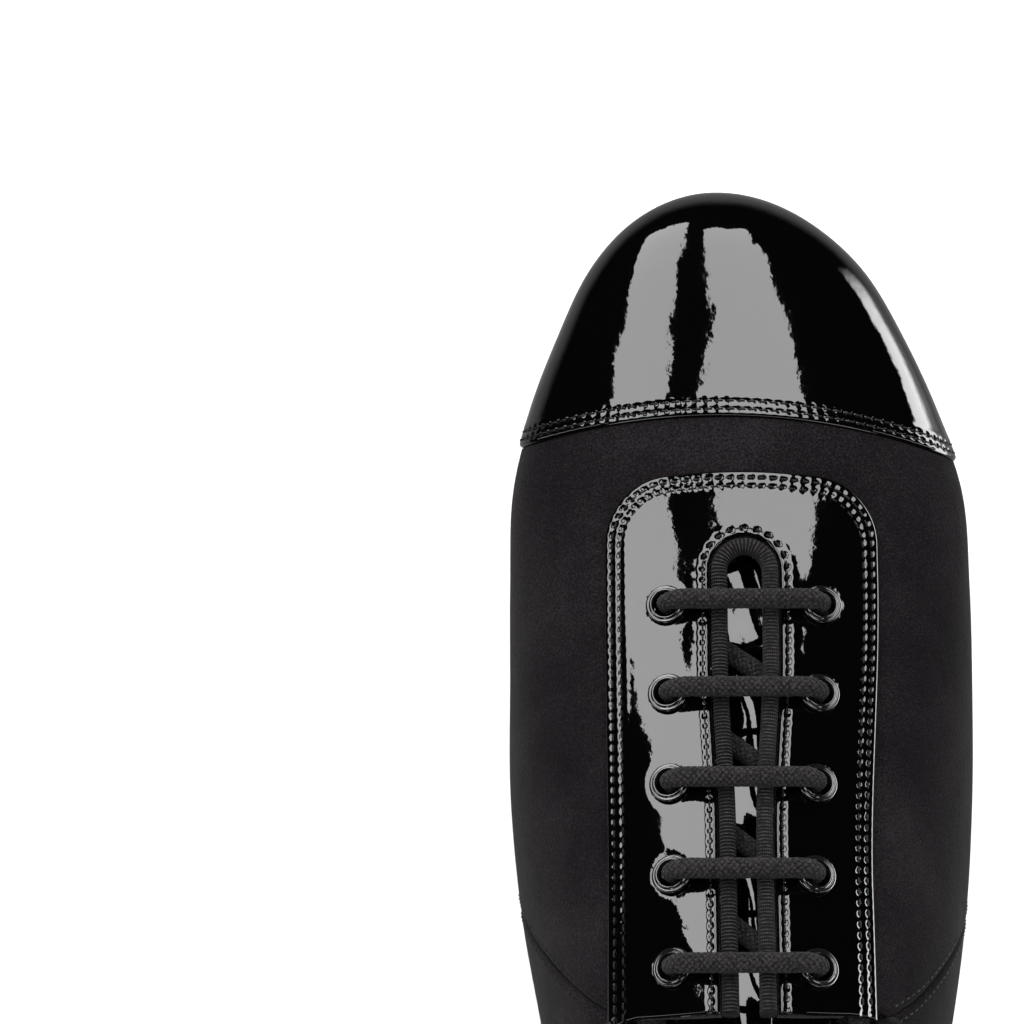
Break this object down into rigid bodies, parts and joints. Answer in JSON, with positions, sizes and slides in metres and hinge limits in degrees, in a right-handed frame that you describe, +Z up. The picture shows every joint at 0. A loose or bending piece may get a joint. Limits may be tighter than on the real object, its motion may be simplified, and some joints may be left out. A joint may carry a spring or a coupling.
{
  "type": "lace-up tap shoe",
  "caption": "Right-foot lace-up tap shoe with patent toe cap, lace panel and heel counter, stretch-fabric sides, low stacked heel and screwed-on tap plates.",
  "frame": {"origin": "centre of the footprint, on the floor the taps stand on", "axes": "+Z up, +Y from the heel towards the toe, +X towards the little toe of this right foot"},
  "size_m": [0.0961, 0.2724, 0.1],
  "materials": {
    "patent": "high-gloss patent, black",
    "stretch_fabric": "matte black stretch fabric",
    "lining_fabric": "matte knit lining",
    "binding_tape": "ribbed tape",
    "stiffener": "resin-stiffened cloth",
    "black_enamel": "gloss black enamel",
    "lace_cord": "round braided cord",
    "aglet_film": "clear-black film",
    "sole_leather": "burnished edge, smooth black-brown",
    "fibre_board": "pressed fibre board",
    "sock_lining": "foam-backed cloth",
    "heel_stack": "stacked, blackened and burnished",
    "heel_rubber": "matte",
    "tap_alloy": "turned and tumbled, satin",
    "steel": "plated"
  },
  "bodies": {
    "shoe": {"toe_cap": "patent", "lace_panel": "patent", "heel_counter": "patent", "vamp": "stretch_fabric", "quarter_lateral": "stretch_fabric", "quarter_medial": "stretch_fabric", "quarter_lining": "lining_fabric", "eyelet_stay": "lining_fabric", "top_line_binding": "binding_tape", "throat_binding": "binding_tape", "toe_puff": "stiffener", "counter_stiffener": "stiffener", "eyelet_lateral_1": "black_enamel", "eyelet_lateral_2": "black_enamel", "eyelet_lateral_3": "black_enamel", "eyelet_lateral_4": "black_enamel", "eyelet_lateral_5": "black_enamel", "eyelet_medial_1": "black_enamel", "eyelet_medial_2": "black_enamel", "eyelet_medial_3": "black_enamel", "eyelet_medial_4": "black_enamel", "eyelet_medial_5": "black_enamel", "lace": "lace_cord", "lace_end_lateral": "lace_cord", "lace_end_medial": "lace_cord", "aglet_lateral": "aglet_film", "aglet_medial": "aglet_film", "outsole": "sole_leather", "insole_board": "fibre_board", "bottom_filler": "fibre_board", "sound_board": "fibre_board", "sock": "sock_lining", "heel_block": "heel_stack", "top_lift": "heel_rubber", "shank": "steel", "heel_screw": "steel", "heel_nail_1": "steel", "heel_nail_2": "steel", "heel_nail_3": "steel", "heel_nail_4": "steel"},
    "toe_plate": {"toe_tap": "tap_alloy"},
    "heel_plate": {"heel_tap": "tap_alloy"},
    "tongue_flap": {"tongue": "patent"},
    "toe_screw_body_1": {"toe_screw_1": "steel"},
    "toe_screw_body_2": {"toe_screw_2": "steel"},
    "toe_screw_body_3": {"toe_screw_3": "steel"},
    "heel_screw_body_1": {"heel_screw_1": "steel"},
    "heel_screw_body_2": {"heel_screw_2": "steel"},
    "heel_screw_body_3": {"heel_screw_3": "steel"}
  },
  "joints": [
    {"name": "toe_tap_drop", "type": "slide", "parent": "shoe", "child": "toe_plate", "axis": [0, 0, -1], "range_m": [0, 0.0014]},
    {"name": "heel_tap_drop", "type": "slide", "parent": "shoe", "child": "heel_plate", "axis": [0, 0, -1], "range_m": [0, 0.0014]},
    {"name": "tongue_flex", "type": "hinge", "parent": "shoe", "child": "tongue_flap", "pos_m": [0, 0.07085, 0.0425], "axis": [1, 0, 0], "range_deg": [0, 10], "stiffness_Nm_per_rad": 0.8},
    {"name": "toe_screw_turn_1", "type": "hinge", "parent": "toe_plate", "child": "toe_screw_body_1", "pos_m": [-0.004, 0.11635, 0.00165], "axis": [0, 0.1556, -0.9878], "range_deg": [0, 360]},
    {"name": "toe_screw_turn_2", "type": "hinge", "parent": "toe_plate", "child": "toe_screw_body_2", "pos_m": [-0.0265, 0.08835, 0], "axis": [0, 0, -1], "range_deg": [0, 360]},
    {"name": "toe_screw_turn_3", "type": "hinge", "parent": "toe_plate", "child": "toe_screw_body_3", "pos_m": [0.025, 0.08685, 0], "axis": [0, 0, -1], "range_deg": [0, 360]},
    {"name": "heel_screw_turn_1", "type": "hinge", "parent": "heel_plate", "child": "heel_screw_body_1", "pos_m": [-0.0018, -0.11565, 0], "axis": [0, 0, -1], "range_deg": [0, 360]},
    {"name": "heel_screw_turn_2", "type": "hinge", "parent": "heel_plate", "child": "heel_screw_body_2", "pos_m": [-0.021, -0.08865, 0], "axis": [0, 0, -1], "range_deg": [0, 360]},
    {"name": "heel_screw_turn_3", "type": "hinge", "parent": "heel_plate", "child": "heel_screw_body_3", "pos_m": [0.0175, -0.08865, 0], "axis": [0, 0, -1], "range_deg": [0, 360]}
  ],
  "couplings": [
    {"joint": "toe_screw_turn_1", "follows": "toe_tap_drop", "rad_per_m": 4488},
    {"joint": "toe_screw_turn_2", "follows": "toe_tap_drop", "rad_per_m": 4488},
    {"joint": "toe_screw_turn_3", "follows": "toe_tap_drop", "rad_per_m": 4488},
    {"joint": "heel_screw_turn_1", "follows": "heel_tap_drop", "rad_per_m": 4488},
    {"joint": "heel_screw_turn_2", "follows": "heel_tap_drop", "rad_per_m": 4488},
    {"joint": "heel_screw_turn_3", "follows": "heel_tap_drop", "rad_per_m": 4488}
  ]
}
